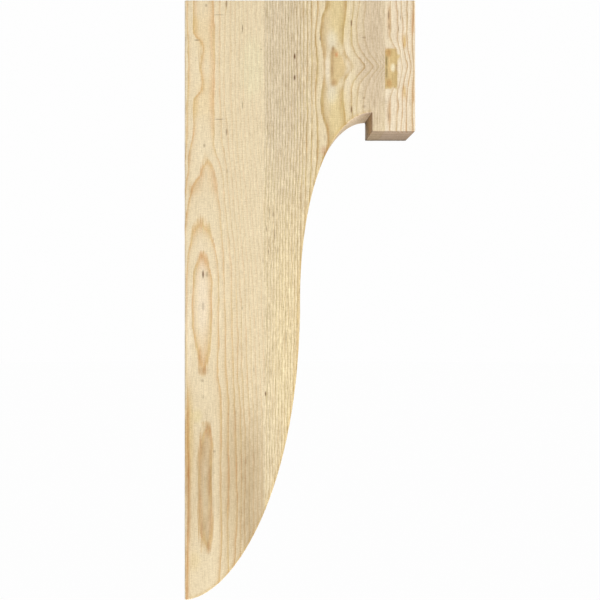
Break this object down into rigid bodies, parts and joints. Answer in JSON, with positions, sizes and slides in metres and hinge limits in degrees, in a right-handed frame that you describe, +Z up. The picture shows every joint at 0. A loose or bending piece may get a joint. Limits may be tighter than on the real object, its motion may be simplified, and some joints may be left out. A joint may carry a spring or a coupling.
{
  "type": "wooden corbel bracket",
  "caption": "Sawn softwood corbel with an ogee outline: a square nose under a flat top, a hollow arch behind it, a narrow waist and a round belly that ends in a point at the wall.",
  "frame": {"origin": "centre of the flat back face, which goes against the wall", "axes": "+X away from the wall, +Z up towards the flat top face that carries the load, Y across the thickness"},
  "size_m": [0.254, 0.0888, 0.6604],
  "materials": {
    "wall_board": "bare sawn softwood, pale, unsealed and matt",
    "middle_board": "bare sawn softwood, a little darker, unsealed and matt",
    "nose_board": "bare sawn softwood, unsealed and matt"
  },
  "bodies": {
    "root": {"wall_board": "wall_board", "middle_board": "middle_board", "nose_board": "nose_board"}
  },
  "joints": []
}
